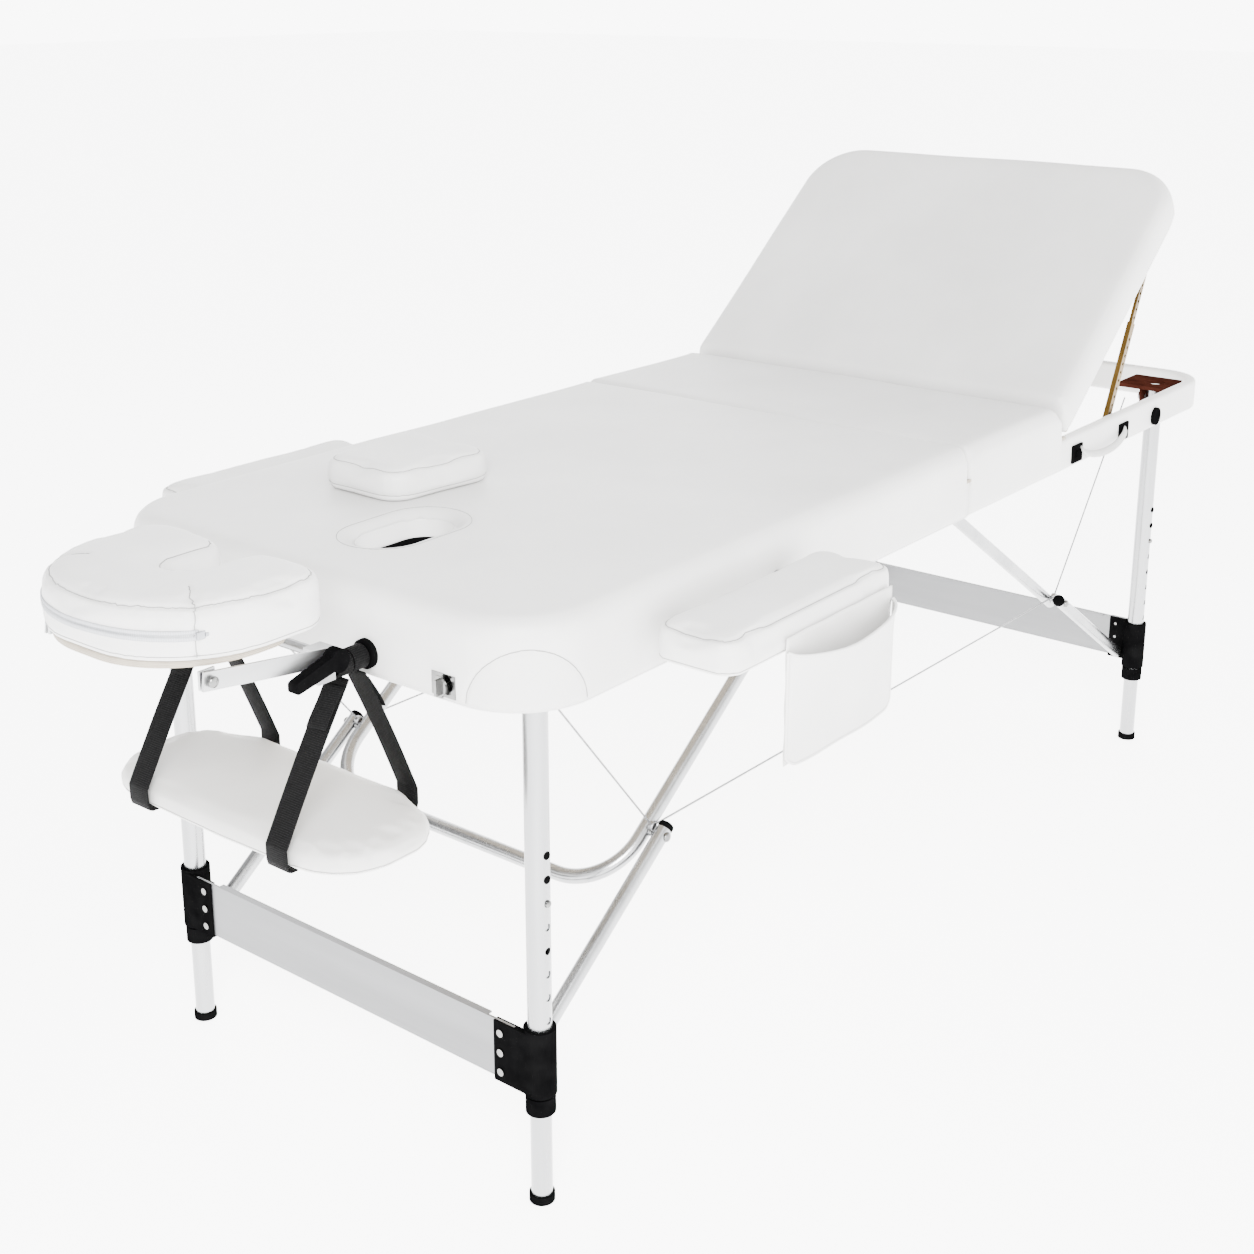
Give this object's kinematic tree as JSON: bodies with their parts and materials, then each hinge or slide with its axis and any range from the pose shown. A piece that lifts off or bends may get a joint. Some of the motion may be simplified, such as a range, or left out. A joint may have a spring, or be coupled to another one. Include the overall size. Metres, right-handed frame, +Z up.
{
  "type": "portable massage table",
  "caption": "Folding padded treatment table with a raised backrest section, face cradle, hanging arm shelf, side armrests, adjustable tube legs and cable braced struts.",
  "frame": {"origin": "on the floor under the middle of the table's outer box", "axes": "+X from the face cradle to the foot end, +Y across the table away from the pocket side, +Z up"},
  "size_m": [2.1095, 0.9804, 1.0724],
  "materials": {
    "pad_vinyl": "soft white leatherette, fine grain",
    "strap": "black polypropylene webbing",
    "white_strap": "white webbing",
    "frame": "aluminium rail wrapped in white leatherette",
    "tube": "satin anodised tube",
    "plate": "satin sheet",
    "board": "plywood",
    "black_plastic": "moulded nylon",
    "brown_plastic": "moulded nylon, maroon brown",
    "steel": "zinc plated",
    "bright_steel": "nickel plated",
    "prop": "yellow passivated steel",
    "cable": "twisted wire rope"
  },
  "bodies": {
    "head_half": {"head_frame": "frame", "head_deck": "board", "head_pad": "pad_vinyl", "head_corner_brackets": "brown_plastic", "head_pivot_bolts": "steel", "head_hinge_leaves": "steel", "head_bushings": "black_plastic", "latch_base": "bright_steel", "stay_cables": "cable"},
    "fold_link": {"fold_links": "steel"},
    "foot_half": {"foot_frame": "frame", "foot_deck": "board", "foot_pad": "pad_vinyl", "foot_corner_brackets": "brown_plastic", "foot_pivot_bolts": "steel", "foot_hinge_leaves": "steel", "side_plates": "black_plastic", "carry_handle": "white_strap", "latch_keeper": "bright_steel"},
    "backrest": {"backrest_deck": "board", "backrest_pad": "pad_vinyl", "backrest_brackets": "steel"},
    "prop_channel": {"prop_channels": "prop"},
    "prop_bar": {"prop_bars": "prop"},
    "head_legs": {"head_leg_tubes": "tube", "head_leg_brackets": "black_plastic", "head_leg_plate": "plate", "head_leg_screws": "bright_steel"},
    "foot_legs": {"foot_leg_tubes": "tube", "foot_leg_brackets": "black_plastic", "foot_leg_plate": "plate", "foot_leg_screws": "bright_steel"},
    "head_strut": {"head_strut": "tube"},
    "foot_strut": {"foot_struts": "tube"},
    "head_brace": {"head_braces": "tube"},
    "foot_brace": {"foot_braces": "tube"},
    "latch_turn": {"latch_turn": "bright_steel"},
    "headrest_base": {"headrest_posts": "steel"},
    "headrest_arms": {"headrest_arms": "tube"},
    "cam_lever": {"headrest_cam_lever": "black_plastic"},
    "headrest_platform": {"headrest_platform": "board", "headrest_cushion": "pad_vinyl"},
    "arm_shelf": {"arm_shelf": "pad_vinyl", "shelf_straps": "strap"},
    "face_plug": {"face_plug": "pad_vinyl"},
    "armrest_near": {"armrest_near": "pad_vinyl", "armrest_pocket": "pad_vinyl"},
    "armrest_far": {"armrest_far": "pad_vinyl"},
    "leg_foot_head_near": {"leg_extension_head_near": "tube", "foot_cap_head_near": "black_plastic"},
    "button_head_near": {"snap_button_head_near": "bright_steel"},
    "leg_foot_head_far": {"leg_extension_head_far": "tube", "foot_cap_head_far": "black_plastic"},
    "button_head_far": {"snap_button_head_far": "bright_steel"},
    "leg_foot_foot_near": {"leg_extension_foot_near": "tube", "foot_cap_foot_near": "black_plastic"},
    "button_foot_near": {"snap_button_foot_near": "bright_steel"},
    "leg_foot_foot_far": {"leg_extension_foot_far": "tube", "foot_cap_foot_far": "black_plastic"},
    "button_foot_far": {"snap_button_foot_far": "bright_steel"}
  },
  "joints": [
    {"name": "fold_inner", "type": "hinge", "parent": "head_half", "child": "fold_link", "pos_m": [0.153, 0, 0.613], "axis": [0, 1, 0], "range_deg": [0, 90], "deforming": ["stay_cables"]},
    {"name": "fold_outer", "type": "hinge", "parent": "fold_link", "child": "foot_half", "pos_m": [0.169, 0, 0.613], "axis": [0, 1, 0], "range_deg": [0, 90]},
    {"name": "head_legs_fold", "type": "hinge", "parent": "head_half", "child": "head_legs", "pos_m": [-0.705, 0, 0.643], "axis": [0, -1, 0], "range_deg": [0, 90]},
    {"name": "foot_legs_fold", "type": "hinge", "parent": "foot_half", "child": "foot_legs", "pos_m": [0.935, 0, 0.643], "axis": [0, 1, 0], "range_deg": [0, 90]},
    {"name": "head_strut_fold", "type": "hinge", "parent": "head_half", "child": "head_strut", "pos_m": [-0.035, 0, 0.643], "axis": [0, 1, 0], "range_deg": [0, 35.9]},
    {"name": "foot_strut_fold", "type": "hinge", "parent": "foot_half", "child": "foot_strut", "pos_m": [0.195, 0, 0.643], "axis": [0, -1, 0], "range_deg": [0, 33.24]},
    {"name": "head_brace_turn", "type": "hinge", "parent": "head_legs", "child": "head_brace", "pos_m": [-0.705, 0, 0.158], "axis": [0, -1, 0], "range_deg": [0, 54.1]},
    {"name": "foot_brace_turn", "type": "hinge", "parent": "foot_legs", "child": "foot_brace", "pos_m": [0.935, 0, 0.158], "axis": [0, 1, 0], "range_deg": [0, 56.76]},
    {"name": "leg_height_head_near", "type": "slide", "parent": "head_legs", "child": "leg_foot_head_near", "axis": [0, 0, 1], "range_m": [-0.145, 0.058]},
    {"name": "snap_button_head_near", "type": "slide", "parent": "head_legs", "child": "button_head_near", "axis": [0, 1, 0], "range_m": [0, 0.0055], "stiffness_N_per_m": 300},
    {"name": "leg_height_head_far", "type": "slide", "parent": "head_legs", "child": "leg_foot_head_far", "axis": [0, 0, 1], "range_m": [-0.145, 0.058]},
    {"name": "snap_button_head_far", "type": "slide", "parent": "head_legs", "child": "button_head_far", "axis": [0, -1, 0], "range_m": [0, 0.0055], "stiffness_N_per_m": 300},
    {"name": "leg_height_foot_near", "type": "slide", "parent": "foot_legs", "child": "leg_foot_foot_near", "axis": [0, 0, 1], "range_m": [-0.145, 0.058]},
    {"name": "snap_button_foot_near", "type": "slide", "parent": "foot_legs", "child": "button_foot_near", "axis": [0, 1, 0], "range_m": [0, 0.0055], "stiffness_N_per_m": 300},
    {"name": "leg_height_foot_far", "type": "slide", "parent": "foot_legs", "child": "leg_foot_foot_far", "axis": [0, 0, 1], "range_m": [-0.145, 0.058]},
    {"name": "snap_button_foot_far", "type": "slide", "parent": "foot_legs", "child": "button_foot_far", "axis": [0, -1, 0], "range_m": [0, 0.0055], "stiffness_N_per_m": 300},
    {"name": "backrest_tilt", "type": "hinge", "parent": "foot_half", "child": "backrest", "pos_m": [0.475, 0, 0.673], "axis": [0, 1, 0], "range_deg": [0, 38.5]},
    {"name": "prop_swing", "type": "hinge", "parent": "foot_half", "child": "prop_channel", "pos_m": [0.665, 0, 0.645], "axis": [0, 1, 0], "range_deg": [0, 59.68]},
    {"name": "prop_extend", "type": "slide", "parent": "prop_channel", "child": "prop_bar", "axis": [0.4424, 0, 0.8968], "range_m": [-0.08674, 0]},
    {"name": "headrest_slide", "type": "slide", "parent": "head_half", "child": "headrest_base", "axis": [-1, 0, 0], "range_m": [0, 0.11]},
    {"name": "headrest_arm_tilt", "type": "hinge", "parent": "headrest_base", "child": "headrest_arms", "pos_m": [-0.839, 0, 0.666], "axis": [0, 1, 0], "range_deg": [-25, 25]},
    {"name": "headrest_platform_tilt", "type": "hinge", "parent": "headrest_arms", "child": "headrest_platform", "pos_m": [-0.992, 0, 0.688], "axis": [0, 1, 0], "range_deg": [-20, 5]},
    {"name": "cam_lever_turn", "type": "hinge", "parent": "headrest_base", "child": "cam_lever", "pos_m": [-0.839, 0, 0.666], "axis": [0, -1, 0], "range_deg": [0, 80]},
    {"name": "shelf_swing", "type": "hinge", "parent": "headrest_base", "child": "arm_shelf", "pos_m": [-0.8015, 0, 0.646], "axis": [0, 1, 0], "range_deg": [-8, 8]},
    {"name": "face_plug_lift", "type": "slide", "parent": "head_half", "child": "face_plug", "axis": [0, 0, 1], "range_m": [0, 0.15]},
    {"name": "armrest_slide_near", "type": "slide", "parent": "head_half", "child": "armrest_near", "axis": [0, -1, 0], "range_m": [0, 0.1]},
    {"name": "armrest_slide_far", "type": "slide", "parent": "head_half", "child": "armrest_far", "axis": [0, 1, 0], "range_m": [0, 0.1]},
    {"name": "latch_turn", "type": "hinge", "parent": "head_half", "child": "latch_turn", "pos_m": [-0.769, -0.232, 0.638], "axis": [1, 0, 0], "range_deg": [0, 90]}
  ],
  "couplings": [
    {"joint": "head_legs_fold", "follows": "fold_inner", "ratio": 1},
    {"joint": "foot_legs_fold", "follows": "fold_inner", "ratio": 1},
    {"joint": "head_strut_fold", "follows": "fold_inner", "ratio": 0.39888},
    {"joint": "foot_strut_fold", "follows": "fold_inner", "ratio": 0.36934},
    {"joint": "head_brace_turn", "follows": "fold_inner", "ratio": 0.60111},
    {"joint": "foot_brace_turn", "follows": "fold_inner", "ratio": 0.63065},
    {"joint": "prop_swing", "follows": "backrest_tilt", "ratio": 1.5501},
    {"joint": "prop_extend", "follows": "backrest_tilt", "m_per_rad": -0.129}
  ]
}
